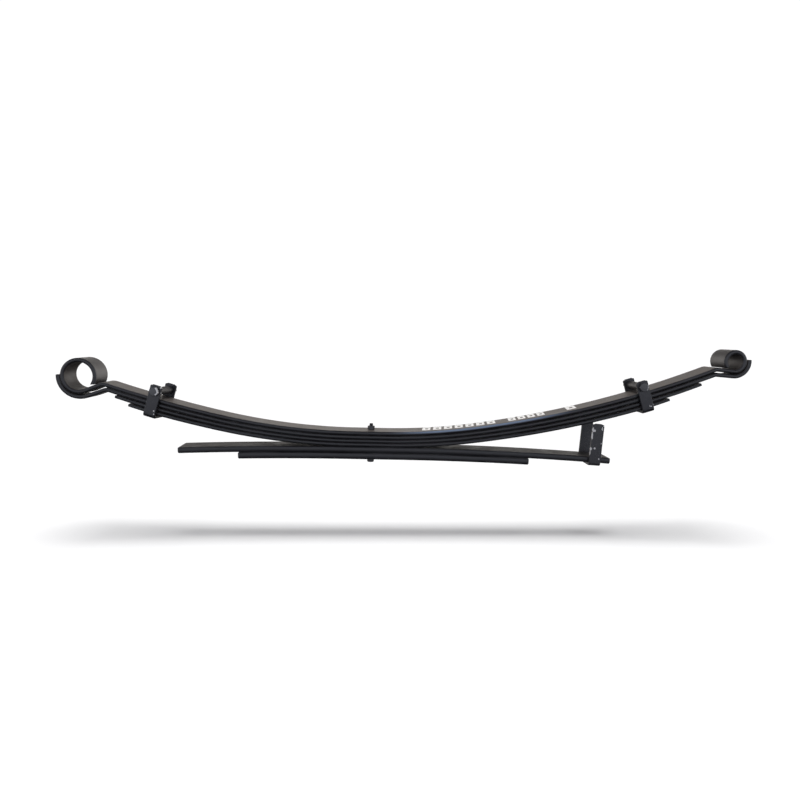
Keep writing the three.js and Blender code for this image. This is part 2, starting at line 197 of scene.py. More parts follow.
def pack_arm(arm, number, end, thick=None):
    """(top, bottom) pairs of one arm of a main leaf, from the centre out to a distance."""
    stops = [0, arm["seat"], arm["change"], end]
    if thick:
        stops = [0, arm["seat"], arm["change"], end - TIP_TAPER, end]
    pairs = []
    for u in spread(stops, STATION_STEP):
        depth = top_depth(number, arm, u)
        here = thick(u) if thick else LEAF_THICKS[number - 1]
        pairs.append((below(crown(arm, u), depth), below(crown(arm, u), depth + here)))
    return pairs


def main_arm(arm, eye):
    """The main leaf out to its kick, then up into its eye."""
    last = crown(arm, eye["kick_at"])
    centre = Vector((eye["u"], eye["z"]))
    tips = [math.radians(a) for a in eye["tips"]]
    start = below(last, 0)
    rolled = round_eye(start, last[2], eye["kick"], centre, eye["bore"], LEAF_THICKS[0], tips, eye["swell"])
    return pack_arm(arm, 1, eye["kick_at"])[:-1] + rolled


def wrapper_arm(arm, eye, wrap):
    """The wrapper leaf out to its kick, then round the outer lower quarter of the eye."""
    last = crown(arm, wrap["kick_at"])
    start = below(last, top_depth(2, arm, wrap["kick_at"]))
    tip = math.radians(wrap["tip"])
    centre = Vector((eye["u"] - wrap["gap"] + wrap["tip_gap"], eye["z"] + wrap["up"]))
    bore = eye["bore"] + LEAF_THICKS[0] + wrap["gap"]
    rolled = round_eye(start, last[2], wrap["kick"], centre, bore, LEAF_THICKS[1], (tip, tip))
    return pack_arm(arm, 2, wrap["kick_at"])[:-1] + rolled


def tapered_arm(arm, number, end):
    full = LEAF_THICKS[number - 1]

    def thick(u):
        along = max((u - end + TIP_TAPER) / TIP_TAPER, 0)
        return full - (full - TIP_THICK) * along

    return pack_arm(arm, number, end, thick)


def helper_arm(top, thick, end):
    """(top, bottom) pairs of one arm of a helper leaf, which droops a little beyond its seat."""
    pairs = []
    for u in spread([0, HELPER_SEAT, end], STATION_STEP):
        slope = -math.asin(max(u - HELPER_SEAT, 0) / HELPER_RADIUS)
        point = (u, top - HELPER_RADIUS * (1 - math.cos(slope)), slope)
        pairs.append((below(point, 0), below(point, thick)))
    return pairs


# ---------------------------------------------------------------- meshes


def section(half, low, high, corner):
    """Points round a bar's section: (across, depth, how much it faces up, how much it is an edge)."""
    middle, reach = (low + high) / 2, (high - low) / 2
    corner = min(corner, reach * MOST_CORNER)
    side_r = corner + (reach - corner) / math.sin(SIDE_BULGE)
    side_middle = half - side_r
    inner = side_middle + (side_r - corner) * math.cos(SIDE_BULGE)

    quarter = []  # from the middle of the side up and round to the top face
    for angle in (0, SIDE_BULGE / 2):
        bulge, rise = side_r * math.cos(angle), side_r * math.sin(angle)
        quarter.append((side_middle + bulge, rise, math.sin(angle), 0))
    for i in range(CORNER_STEPS + 1):
        part = i / CORNER_STEPS
        angle = SIDE_BULGE + (math.pi / 2 - SIDE_BULGE) * part
        rise = reach - corner + corner * math.sin(angle)
        quarter.append((inner + corner * math.cos(angle), rise, math.sin(angle), math.sin(math.pi * part)))
    mirrored = [(-y, rise, up, edge) for y, rise, up, edge in reversed(quarter)]
    flats = [inner - 0.5] + [inner * k for k in (0.66, 0.33, 0, -0.33, -0.66)] + [0.5 - inner]
    upper = quarter + [(y, reach, 1, 0) for y in flats] + mirrored
    lower = [(y, -rise, -up, edge) for y, rise, up, edge in reversed(upper[1:-1])]
    return [(y, middle - rise, up, edge) for y, rise, up, edge in upper + lower]


SHARP_FROM = math.radians(38)


class Builder:
    """Gathers rings of vertices, with what the paint needs to know about each, into one mesh."""

    def __init__(self):
        self.points, self.faces, self.facts = [], [], []

    def ring(self, points, facts):
        """facts: (along, across, faces up, edge) of each point."""
        start = len(self.points)
        self.points += points
        self.facts += facts
        return list(range(start, start + len(points)))

    def join(self, a, b):
        n = len(a)
        for i in range(n):
            self.faces.append((a[i], a[(i + 1) % n], b[(i + 1) % n], b[i]))

    def cap(self, ring):
        self.faces.append(tuple(ring))

    def make(self, name):
        mesh = bpy.data.meshes.new(name)
        mesh.from_pydata([p * MM for p in self.points], [], self.faces)
        bm = bmesh.new()
        bm.from_mesh(mesh)
        bmesh.ops.recalc_face_normals(bm, faces=bm.faces)
        bm.to_mesh(mesh)
        bm.free()
        mesh.shade_smooth()
        mesh.set_sharp_from_angle(angle=SHARP_FROM)
        rest = mesh.attributes.new("rest", "FLOAT_VECTOR", "POINT")
        rest.data.foreach_set("vector", [c for p in self.points for c in p])
        layout = mesh.attributes.new("layout", "FLOAT_VECTOR", "POINT")
        layout.data.foreach_set("vector", [c for f in self.facts for c in (f[0], f[1], 0.0)])
        for index, attribute in ((2, "up"), (3, "edge")):
            data = mesh.attributes.new(attribute, "FLOAT", "POINT")
            data.data.foreach_set("value", [float(f[index]) for f in self.facts])
        uv = mesh.uv_layers.new(name="UVMap")
        for loop in mesh.loops:
            f = self.facts[loop.vertex_index]
            uv.data[loop.index].uv = (f[0] * MM, f[1] * MM)
        obj = bpy.data.objects.new(name, mesh)
        bpy.context.collection.objects.link(obj)
        return obj


def perimeter(points):
    """Distance round a closed ring up to each point."""
    total, out = 0.0, []
    for i, p in enumerate(points):
        out.append(total)
        total += (points[(i + 1) % len(points)] - p).length
    return out


def section_middle(station):
    """The middle of a station's section, whose origin is on its top face."""
    origin, _, deep, _, thick = station
    return origin + deep * thick / 2


END_RINGS = 4  # rings that round an end, 30 degrees apart


def loft(builder, stations, corner, end_round=1.2, round_start=False):
    """A bar through stations (origin, width direction, depth direction, half width, thickness)."""

    def ring_at(station, along, inset, bright):
        origin, wide, deep, half, thick = station
        shape = section(half - inset, inset, thick - inset, max(corner - inset * 0.6, 0.25))
        points = [origin + wide * y + deep * h for y, h, _, _ in shape]
        around = perimeter(points)
        facts = [(along, around[i], s[2], max(s[3], bright)) for i, s in enumerate(shape)]
        return builder.ring(points, facts)

    def rounding(station, outward):
        """The few rings that round an end, from the full section to its cap."""
        origin, *rest = station
        out = []
        for i in range(END_RINGS):
            angle = math.radians(30 * i)
            back = end_round * (1 - math.sin(angle))
            inset = end_round * (1 - math.cos(angle))
            out.append(((origin - outward * back, *rest), back, inset, math.sin(2 * angle)))
        return out

    distance = [0.0]
    for a, b in zip(stations, stations[1:]):
        distance.append(distance[-1] + (section_middle(b) - section_middle(a)).length)
    total = distance[-1]
    first, last = stations[0], stations[-1]
    rings = []
    low = 0.01
    if round_start:
        outward = (first[0] - stations[1][0]).normalized()
        for moved, back, inset, bright in reversed(rounding(first, outward)):
            rings.append(ring_at(moved, back, inset, bright))
        low = end_round * 1.5
    else:
        rings.append(ring_at(first, 0, 0, 0))
    for station, along in zip(stations[1:-1], distance[1:-1]):
        if low < along < total - end_round * 1.5:
            rings.append(ring_at(station, along, 0, 0))
    outward = (section_middle(last) - section_middle(stations[-2])).normalized()
    for moved, back, inset, bright in rounding(last, outward):
        rings.append(ring_at(moved, total - back, inset, bright))
    for a, b in zip(rings, rings[1:]):
        builder.join(a, b)
    builder.cap(rings[0])
    builder.cap(rings[-1])


def leaf_stations(pairs, side):
    stations = []
    for top, bottom in pairs:
        deep = bottom - top
        thick = deep.length
        deep3 = Vector((side * deep.x, 0, deep.y)) / thick
        stations.append((Vector((side * top.x, 0, top.y)), Y.copy(), deep3, LEAF_WIDTH / 2, thick))
    return stations


LATHE_SIDES = 48
ROUNDED_STEPS = 3
HEXAGON_SIDES = 72
THREAD_SIDES = 40
THREAD_ROWS = 6  # rings in each turn of a thread


def circle(matrix, radius, height, count):
    """Points round a circle about local Z."""
    turns = [math.tau * i / count for i in range(count)]
    return [matrix @ Vector((radius * math.cos(t), radius * math.sin(t), height)) for t in turns]


def lathe(builder, profile, matrix, closed=False):
    """A turned shape about local Z from (radius, height) points. A radius of 0 closes an end with a fan."""
    count = LATHE_SIDES
    rings = []
    along = 0.0
    for k, (radius, height) in enumerate(profile):
        if k:
            along += math.dist(profile[k - 1], profile[k])
        if radius < 1e-6:
            rings.append(builder.ring([matrix @ Vector((0, 0, height))], [(along, 0, 0, 0)]))
            continue
        facts = [(along, radius * math.tau * i / count, 0, 0) for i in range(count)]
        rings.append(builder.ring(circle(matrix, radius, height, count), facts))
    pairs = list(zip(rings, rings[1:]))
    if closed:
        pairs.append((rings[-1], rings[0]))
    for a, b in pairs:
        if len(a) == 1:
            for i in range(len(b)):
                builder.faces.append((a[0], b[i], b[(i + 1) % len(b)]))
        elif len(b) == 1:
            for i in range(len(a)):
                builder.faces.append((a[i], a[(i + 1) % len(a)], b[0]))
        else:
            builder.join(a, b)


def rounded(profile, radius):
    """A lathe profile with the corners between its ends rounded."""
    out = [profile[0]]
    for a, b, c in zip(profile, profile[1:], profile[2:]):
        va, vc = Vector(a) - Vector(b), Vector(c) - Vector(b)
        r = min(radius, va.length * 0.45, vc.length * 0.45)
        start, end = Vector(b) + va.normalized() * r, Vector(b) + vc.normalized() * r
        for i in range(ROUNDED_STEPS + 1):
            t = i / ROUNDED_STEPS
            p = start.lerp(Vector(b), t).lerp(Vector(b).lerp(end, t), t)
            out.append((p.x, p.y))
    out.append(profile[-1])
    return out


def hex_radius(flats, angle):
    """Distance from the axis to a hexagon's side at an angle."""
    sector = math.radians(60)
    return flats / 2 / math.cos((angle % sector) - sector / 2)


def hexagon(builder, matrix, flats, low, high, chamfer_high=True, hole=None):
    """A hexagonal head or nut along local Z, its corners turned off at one end or at both."""
    count = HEXAGON_SIDES
    face = flats / 2 - 0.25
    blunt_corner = flats / math.sqrt(3) - 0.25
    chamfer_slope = 0.55

    def ring(radius_of, height_of, bright=0):
        points, facts = [], []
        for i in range(count):
            angle = math.tau * i / count
            r = radius_of(angle)
            points.append(matrix @ Vector((r * math.cos(angle), r * math.sin(angle), height_of(r))))
            facts.append((height_of(r), angle * flats / 2, 0, bright))
        return builder.ring(points, facts)

    def flat_ring(radius, height, bright=0):
        return ring(lambda angle: radius, lambda r: height, bright)

    def side(angle):
        return min(hex_radius(flats, angle), blunt_corner)

    def low_at(r):
        return low + max(r - face, 0) * chamfer_slope

    def high_at(r):
        return high - max(r - face, 0) * chamfer_slope if chamfer_high else high

    rings = []
    if hole:
        rings.append(flat_ring(hole, low + 0.6))
        rings.append(flat_ring(hole + 0.7, low))
    rings.append(flat_ring(face - 0.3, low))
    rings.append(flat_ring(face, low + 0.02))
    rings.append(ring(side, lambda r: low_at(r) + 0.05, 0.6))
    rings.append(ring(side, lambda r: low_at(r) + 0.35))
    rings.append(ring(side, lambda r: high_at(r) - 0.35))
    rings.append(ring(side, lambda r: high_at(r) - 0.05, 0.6))
    rings.append(flat_ring(face, high - 0.02, 0.3))
    rings.append(flat_ring(face - 0.3, high))
    if hole:
        rings.append(flat_ring(hole + 0.7, high))
        rings.append(flat_ring(hole, high - 0.6))
    for a, b in zip(rings, rings[1:]):
        builder.join(a, b)
    if hole:
        builder.join(rings[-1], rings[0])
    else:
        builder.cap(rings[0])
        builder.cap(rings[-1])


def threaded(builder, matrix, radius, low, high, pitch, thread_from):
    """A bar along local Z: a plain shank up to thread_from, then a thread with a chamfered end."""
    count = THREAD_SIDES
    depth = 0.6 * pitch
    chamfer = 1.2
    tip_radius = radius - 1.6
    rings = []
    for height in (low, thread_from - 0.3):
        facts = [(height, i, 0, 0) for i in range(count)]
        rings.append(builder.ring(circle(matrix, radius, height, count), facts))
    for k in range(int((high - thread_from) / pitch * THREAD_ROWS)):
        height = thread_from + k * pitch / THREAD_ROWS
        points, facts = [], []
        for i in range(count):
            turn = i / count
            angle = math.tau * turn
            groove = abs(2 * ((height / pitch - turn) % 1) - 1)
            r = min(radius - depth * groove, radius - max(chamfer - (high - height), 0))
            points.append(matrix @ Vector((r * math.cos(angle), r * math.sin(angle), height)))
            facts.append((height, angle * radius, 0, 1 - groove))
        rings.append(builder.ring(points, facts))
    tip_facts = [(high, i, 0, 0) for i in range(count)]
    rings.append(builder.ring(circle(matrix, tip_radius, high, count), tip_facts))
    for a, b in zip(rings, rings[1:]):
        builder.join(a, b)
    builder.cap(rings[0])
    builder.cap(rings[-1])


def strap(builder, matrix, inside, thick, width, bottom, top, ear_corner):
    """A bent strip: down one side, under and up the other, with rounded ends."""
    middle = inside + thick / 2
    bend = 1.5 + thick / 2
    foot = bottom + thick / 2
    outwards, down = Vector((0, -1, 0)), Vector((0, 0, -1))
    path = []  # (y, z) of the strip's middle and the outward direction there
    ear = [top - ear_corner * (1 - math.cos(math.radians(15 * i))) for i in range(7)]
    side = [z for z in spread([top, top - ear_corner, foot + bend], 5) if z < ear[-1] - 1]
    for z in ear + side:
        path.append((-middle, z, outwards))
    for i in range(1, 9):
        angle = math.radians(180 + 90 * i / 8)
        out = Vector((0, math.cos(angle), math.sin(angle)))
        path.append((-middle + bend + bend * out.y, foot + bend + bend * out.z, out))
    for y in spread([bend - middle, 0], 6)[1:]:
        path.append((y, foot, down))
    path += [(-y, z, Vector((0, -out.y, out.z))) for y, z, out in reversed(path[:-1])]

    turn = matrix.to_3x3()
    stations = []
    for y, z, out in path:
        half = width / 2
        drop = top - z
        if abs(y) == middle and drop < ear_corner:
            half += math.sqrt(max(ear_corner**2 - (ear_corner - drop) ** 2, 0)) - ear_corner
        origin = Vector((0, y, z)) + out * (thick / 2)
        stations.append((matrix @ origin, turn @ X, turn @ -out, half, thick))
    loft(builder, stations, 1, end_round=0.9, round_start=True)


# ---------------------------------------------------------------- places


def on_arm(arm, u):
    """The frame of something that sits on an arm, tilted with the leaves."""
    _, z, slope = crown(arm, u)
    return Matrix.Translation((arm["side"] * u, 0, z)) @ Matrix.Rotation(-arm["side"] * slope, 4, "Y")


def helper_frame(u):
    slope = math.asin((u - HELPER_SEAT) / HELPER_RADIUS)
    z = UPPER_TOP - HELPER_RADIUS * (1 - math.cos(slope))
    return Matrix.Translation((u, 0, z)) @ Matrix.Rotation(slope, 4, "Y")


def liner_frame(arm, number, end):
    def at(u):
        space = space_over(arm, u, end, arm["tip_gap"])
        return below(crown(arm, u), top_depth(number, arm, u) - space / 2)

    inner, outer = at(end - LINER_BACK - LINER_R), at(end - LINER_BACK + LINER_R)
    run = outer - inner
    centre = (inner + outer) / 2
    tilt = Matrix.Rotation(-arm["side"] * math.atan2(run.y, run.x), 4, "Y")
    return Matrix.Translation((arm["side"] * centre.x, 0, centre.y)) @ tilt


ALONG_Y = Matrix.Rotation(math.radians(-90), 4, "X")  # turns a shape's own Z to +Y

# ---------------------------------------------------------------- paint


class Nodes:
    """A small helper for building a material's node tree."""

    def __init__(self, name):
        self.material = bpy.data.materials.new(name)
        self.material.use_nodes = True
        self.tree = self.material.node_tree
        self.tree.nodes.clear()
        self.shader = self.tree.nodes.new("ShaderNodeBsdfPrincipled")
        out = self.tree.nodes.new("ShaderNodeOutputMaterial")
        self.tree.links.new(self.shader.outputs[0], out.inputs[0])

    def put(self, socket, value):
        if isinstance(value, bpy.types.NodeSocket):
            self.tree.links.new(value, socket)
        elif value is not None:
            socket.default_value = value

    def math(self, operation, a, b=None):
        node = self.tree.nodes.new("ShaderNodeMath")
        node.operation = operation
        self.put(node.inputs[0], a)
        self.put(node.inputs[1], b)
        return node.outputs[0]

    def times(self, a, b):
        return self.math("MULTIPLY", a, b)

    def weighted(self, a, part_a, b, part_b):
        """a and b, each times its own part, added up."""
        first = a if part_a == 1 else self.times(a, part_a)
        return self.math("ADD", first, self.times(b, part_b))

    def split(self, vector):
        """The X, Y and Z of a vector."""
        node = self.tree.nodes.new("ShaderNodeSeparateXYZ")
        self.put(node.inputs[0], vector)
        return node.outputs

    def attribute(self, name, vector=False):
        node = self.tree.nodes.new("ShaderNodeAttribute")
        node.attribute_name = name
        return node.outputs["Vector"] if vector else node.outputs["Fac"]

    def scaled(self, vector, scale, offset=(0, 0, 0)):
        node = self.tree.nodes.new("ShaderNodeMapping")
        self.put(node.inputs["Vector"], vector)
        node.inputs["Scale"].default_value = scale
        node.inputs["Location"].default_value = offset
        return node.outputs[0]

    def noise(self, vector, scale, detail, roughness=0.55, output="Fac"):
        node = self.tree.nodes.new("ShaderNodeTexNoise")
        self.put(node.inputs["Vector"], vector)
        node.inputs["Scale"].default_value = scale
        node.inputs["Detail"].default_value = detail
        node.inputs["Roughness"].default_value = roughness
        return node.outputs[output]

    def voronoi(self, vector, scale):
        node = self.tree.nodes.new("ShaderNodeTexVoronoi")
        self.put(node.inputs["Vector"], vector)
        node.inputs["Scale"].default_value = scale
        return node.outputs["Distance"]

    def ramp(self, value, low, high, out_low=0.0, out_high=1.0):
        node = self.tree.nodes.new("ShaderNodeMapRange")
        node.interpolation_type = "SMOOTHSTEP"
        self.put(node.inputs["Value"], value)
        limits = {"From Min": low, "From Max": high, "To Min": out_low, "To Max": out_high}
        for name, number in limits.items():
            node.inputs[name].default_value = number
        return node.outputs[0]

    def mix(self, factor, a, b):
        node = self.tree.nodes.new("ShaderNodeMix")
        node.data_type = "RGBA"
        self.put(node.inputs["Factor"], factor)
        inputs = [s for s in node.inputs if s.type == "RGBA"]
        for socket, value in zip(inputs, (a, b)):
            self.put(socket, (*value, 1) if isinstance(value, tuple) else value)
        return [s for s in node.outputs if s.type == "RGBA"][0]

    def bump(self, height, distance, normal=None):
        node = self.tree.nodes.new("ShaderNodeBump")
        node.inputs["Distance"].default_value = distance
        node.inputs["Strength"].default_value = 1
        self.put(node.inputs["Height"], height)
        self.put(node.inputs["Normal"], normal)
        return node.outputs[0]

    def near(self, vector, centre, radius, stretch):
        """1 inside a ragged spot about a place, 0 outside."""
        moved = self.scaled(vector, stretch, tuple(-c * s for c, s in zip(centre, stretch)))
        length = self.tree.nodes.new("ShaderNodeVectorMath")
        length.operation = "LENGTH"
        self.put(length.inputs[0], moved)
        return self.ramp(length.outputs["Value"], radius * 0.8, radius, 1, 0)


# BARE_METAL_AND_HIGHLIGHT colours both bare chips and painted highlight spots
BARE_METAL_AND_HIGHLIGHT = (0.62, 0.61, 0.6)
FLECK = (0.36, 0.35, 0.34)
# HIGHLIGHT_BLUE colours a painted bluish highlight on the main leaf's edge
HIGHLIGHT_BLUE = (0.15, 0.2, 0.29)
STENCIL_WHITE = (0.8, 0.79, 0.77)
SPOT_RAGGED = 3  # how far the outline of each chip and painted highlight spot wanders, from one extreme to the other
# how much of the painted top light a face pointing down still takes
UNDERSIDE_TOP_LIGHT = 0.84  # an underside counts as facing up this much


def paint(
    name,
    dark,
    light,
    top,
    worn,
    rough,
    top_rough=None,
    grain=0.05,
    streaks=True,
    wear=0.5,
    chips_and_highlights=(),
    marked=False,
    coat=0.0,
    flecks=0.0,
):
    """Black paint on steel: mottled, rubbed at its edges, with painted top light where it faces up (less
    where it faces down), chipped in places, and with painted highlights at listed spots.
    """
    n = Nodes(name)
    rest = n.attribute("rest", True)
    layout = n.attribute("layout", True)
    up = n.attribute("up")
    cloud = n.noise(rest, 0.035, 5, 0.6)
    blotch = n.noise(rest, 0.011, 3)
    fine = n.noise(rest, 0.9, 3, 0.6)
    grit = n.noise(rest, 2.6, 2, 0.5)
    if streaks:
        streak = n.noise(n.scaled(layout, (0.02, 0.6, 1)), 1, 4, 0.6)
    else:
        streak = n.noise(rest, 0.12, 3)

    colour = n.mix(n.ramp(n.weighted(cloud, 0.6, streak, 0.4), 0.38, 0.64), dark, light)
    # painted top light: faces pointing up are lightened towards the top colour and lose specular, mottled
    # at random; faces pointing down get less of it
    facing = n.math("MAXIMUM", up, n.times(up, -UNDERSIDE_TOP_LIGHT))
    mottle = n.weighted(n.weighted(cloud, 0.55, fine, 0.45), 1, streak, 0.4)
    top_light = n.times(n.ramp(facing, 0.75, 1), n.ramp(mottle, 0.45, 0.95, 0.3, 1.15))
    colour = n.mix(top_light, colour, top)
    rub = n.ramp(n.weighted(blotch, 1, fine, 0.4), 0.62, 0.86, 0, wear)
    colour = n.mix(n.times(n.ramp(n.attribute("edge"), 0.55, 1), rub), colour, worn)
    specks = n.ramp(n.voronoi(rest, 0.22), 0, 0.055, 1, 0)
    colour = n.mix(n.times(specks, 0.35), colour, light)
    if flecks:
        colour = n.mix(n.ramp(fine, 0.62, 0.7, 0, flecks), colour, FLECK)
    # bare metal where chipped, and painted highlights at the spots given
    if chips_and_highlights:
        colour = n.mix(chip_and_highlight_spots(n, rest, chips_and_highlights), colour, BARE_METAL_AND_HIGHLIGHT)
    if marked:
        # painted highlight: a bluish line on the main leaf's front upper edge
        colour = n.mix(blue_highlight_line(n, rest, up), colour, HIGHLIGHT_BLUE)
        colour = n.mix(stencil(n, layout, up, fine), colour, STENCIL_WHITE)
    n.put(n.shader.inputs["Base Color"], colour)

    roughness = n.ramp(n.weighted(fine, 0.5, cloud, 0.5), 0.3, 0.7, rough - 0.07, rough + 0.07)
    if top_rough is not None:
        n.put(n.shader.inputs["Specular IOR Level"], n.ramp(top_light, 0, 1, 0.55, 0.15))
        node = n.tree.nodes.new("ShaderNodeMix")
        n.put(node.inputs[0], top_light)
        n.put(node.inputs[2], roughness)
        node.inputs[3].default_value = top_rough
        roughness = node.outputs[0]
    n.put(n.shader.inputs["Roughness"], roughness)
    n.shader.inputs["Coat Weight"].default_value = coat
    n.shader.inputs["Coat Roughness"].default_value = 0.25

    relief = n.bump(n.weighted(grit, 0.35, fine, 0.65), grain * MM)
    relief = n.bump(n.weighted(cloud, 1, streak, 0.6), grain * 5 * MM, relief)
    n.put(n.shader.inputs["Normal"], relief)
    return n.material


def chip_and_highlight_spots(n, rest, chips_and_highlights):
    """1 where the paint is chipped off and where a highlight is painted, at (centre, radius, stretch) spots
    with ragged outlines.
    """
    half = -SPOT_RAGGED / 2
    ragged = n.tree.nodes.new("ShaderNodeVectorMath")
    ragged.operation = "MULTIPLY_ADD"
    n.put(ragged.inputs[0], n.noise(rest, 0.55, 3, 0.5, "Color"))
    ragged.inputs[1].default_value = (SPOT_RAGGED,) * 3
    n.put(ragged.inputs[2], n.scaled(rest, (1, 1, 1), (half, half, half)))
    total = None
    for centre, radius, stretch in chips_and_highlights:
        spot = n.near(ragged.outputs[0], centre, radius, stretch)
        total = spot if total is None else n.math("MAXIMUM", total, spot)
    return total


def band(n, value, low, high, soft):
    """1 between two values and 0 outside, with soft ends."""
    return n.times(n.ramp(value, low, low + soft), n.ramp(value, high - soft, high, 1, 0))


def blue_highlight_line(n, rest, up):
    """A painted bluish highlight line along the front upper edge of the rear arm."""
    x, y, _ = n.split(rest)
    line = n.times(band(n, up, -0.1, 0.99, 0.3), n.ramp(y, -29, -26, 1, 0))
    reach = n.times(n.ramp(x, 20, 140), n.ramp(x, 300, 430, 1, 0))
    return n.times(line, reach)


STENCIL_GROUPS = ((107, 7, 22.4), (286, 4, 20.2), (408, 1, 26))  # start along the leaf, count, pitch
STENCIL_SLANT = 0.12


def stencil(n, layout, up, fine):
    """Worn white index bars along the top of the main leaf's rear arm."""
    along, across, _ = n.split(layout)
    slant = n.weighted(along, 1, across, STENCIL_SLANT)
    total = None
    for start, count, pitch in STENCIL_GROUPS:
        local = n.math("DIVIDE", n.math("SUBTRACT", slant, start), pitch)
        turn = n.math("FRACT", local)
        bars = n.times(band(n, turn, 0.04, 0.84, 0.05), band(n, local, 0, count, 0.03))
        slot = n.times(band(n, across, 20, 34, 1.5), band(n, turn, 0.3, 0.62, 0.05))
        bars = n.times(bars, n.math("SUBTRACT", 1, slot))
        total = bars if total is None else n.math("MAXIMUM", total, bars)
    marks = n.times(total, band(n, across, 7, 45, 1))
    marks = n.times(marks, n.ramp(up, 0.9, 1))
    return n.times(marks, n.ramp(fine, 0.32, 0.5, 0.45, 1))


LEAF_DARK, LEAF_LIGHT = (0.0062, 0.006, 0.0082), (0.012, 0.0116, 0.0142)
# LEAF_TOP is the warm grey of the painted top light on the leaves
LEAF_TOP, WORN = (0.1, 0.088, 0.08), (0.13, 0.13, 0.135)
FIT_DARK, FIT_LIGHT = (0.009, 0.009, 0.0125), (0.02, 0.02, 0.0245)


def spring_paint(name, rough, top_rough=None, top=LEAF_TOP, **more):
    return paint(name, LEAF_DARK, LEAF_LIGHT, top, WORN, rough, top_rough, **more)


def clip_finish(name, chips_and_highlights):
    more = {"streaks": False, "wear": 0.6, "chips_and_highlights": chips_and_highlights, "flecks": 0.2}
    return paint(name, FIT_DARK, FIT_LIGHT, FIT_LIGHT, WORN, 0.38, **more)


def bolt_coat_and_highlights(name, chips_and_highlights=()):
    """Black coated steel, glossy, with bare spots at its corners and painted highlights at any spots given.
    """
    dark, light = (0.01, 0.01, 0.013), (0.03, 0.03, 0.034)
    top, worn = (0.03, 0.03, 0.033), (0.4, 0.4, 0.4)
    more = {"streaks": False, "wear": 0.7, "grain": 0.02, "coat": 0.3, "chips_and_highlights": chips_and_highlights}
    return paint(name, dark, light, top, worn, 0.28, **more)


def guide_finish(name, chips_and_highlights):
    """A greyer and coarser paint, worn through in flecks."""
    dark, light = (0.018, 0.018, 0.021), (0.036, 0.036, 0.04)
    top, worn = (0.03, 0.03, 0.033), (0.24, 0.235, 0.23)
    more = {"streaks": False, "wear": 0.7, "chips_and_highlights": chips_and_highlights, "grain": 0.09, "flecks": 0.55}
    return paint(name, dark, light, top, worn, 0.46, **more)


# chips in the paint: place, radius, and how much the spot is squeezed along each axis
CLIP_CHIPS = {
    -1: [
        ((-424.4, -37, 99.3), 1.6, (1, 0.3, 1)),
        ((-424.5, -37, 93.0), 1.4, (1, 0.3, 1)),
        ((-409.8, -37, 144.6), 1.8, (1, 0.3, 1)),
        ((-409.6, -37, 133.3), 1.3, (1, 0.3, 0.6)),
    ],
    1: [
        ((558.8, -37, 130.6), 0.9, (0.8, 0.3, 0.45)),
        ((561.8, -37, 130.2), 0.9, (0.5, 0.3, 0.9)),
        ((566.6, -37, 135.4), 1.7, (1, 0.3, 0.5)),
    ],
}
GUIDE_CHIPS = [
    ((449.4, -36, 77.9), 2.9, (1, 0.3, 1)),
    ((446.6, -36, 80.0), 1.6, (1, 0.3, 0.3)),
    ((445.2, -36, 68.0), 1.7, (1, 0.3, 0.2)),
    ((451.4, -36, 42.0), 2.0, (1, 0.3, 1)),
    ((443.6, -36, 41.0), 2.3, (1, 0.3, 0.6)),
    ((442.2, -36, 33.5), 1.5, (1, 0.3, 0.25)),
    ((465.3, -36, 82.0), 1.5, (1, 0.3, 0.35)),
    ((468.0, -36, 88.0), 1.5, (1, 0.3, 0.6)),
    ((464.6, -36, 51.7), 1.1, (1, 0.3, 0.8)),
    ((461.1, -36, 20.3), 1.4, (1, 0.3, 0.8)),
    ((462.9, 36, 62.0), 1.2, (1, 0.3, 0.6)),
]
# painted highlights on the right of each clip bolt's head, laid on as bare-metal spots: (along, up) from
# its middle, and size
HEAD_HIGHLIGHTS = {
    -1: [
        (2.5, 7.3, 1.5),
        (5.0, 5.6, 2.1),
        (6.9, 3.0, 2.1),
        (8.2, 0.2, 1.9),
        (7.0, -2.6, 1.5),
        (5.6, -5.0, 1.5),
    ],
    1: [(8.4, 0.8, 1.1), (7.9, -2.2, 1.2), (6.6, -4.8, 1.2), (4.4, -6.8, 1.1)],
}

leaf_paint = spring_paint("leaf_paint", 0.42, 0.5)
# the main leaf's rear arm carries index marks and a painted bluish edge highlight
main_paint = spring_paint("main_leaf_paint", 0.4, 0.5, marked=True)
# the helpers' darker top colour is painted shade from the main pack above them
helper_paint = spring_paint("helper_paint", 0.44, 0.6, (0.052, 0.047, 0.044))
sleeve_paint = spring_paint("sleeve_paint", 0.5, 0.55, (0.016, 0.0145, 0.0135), streaks=False)
rivet_paint = spring_paint("rivet_paint", 0.38, streaks=False)
clip_paint = {side: clip_finish(f"{ENDS[side]}_clip_paint", CLIP_CHIPS[side]) for side in ENDS}
guide_paint = guide_finish("guide_paint", GUIDE_CHIPS)
bolt_paint = bolt_coat_and_highlights("bolt_coat_and_highlights")
PLASTIC_DARK, PLASTIC, PLASTIC_WORN = ((grey, grey, grey) for grey in (0.01, 0.02, 0.05))
liner_plastic = paint("liner_plastic", PLASTIC_DARK, PLASTIC, PLASTIC, PLASTIC_WORN, 0.6, streaks=False)

# ---------------------------------------------------------------- pieces

ARMS = {-1: FRONT_ARM, 1: REAR_ARM}
EYES = {-1: (FRONT_EYE, FRONT_WRAP), 1: (REAR_EYE, REAR_WRAP)}


def finish_piece(obj, material, body, node):
    """body: the body that the piece rides on; when it is a tuple of two bodies and two places, the piece is
    only baked where it stands and rides on no body.
    """
    obj.data.materials.append(material)
    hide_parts(node)
    if isinstance(body, tuple):
        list(body)
        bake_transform(obj)
    else:
        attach(obj, body)


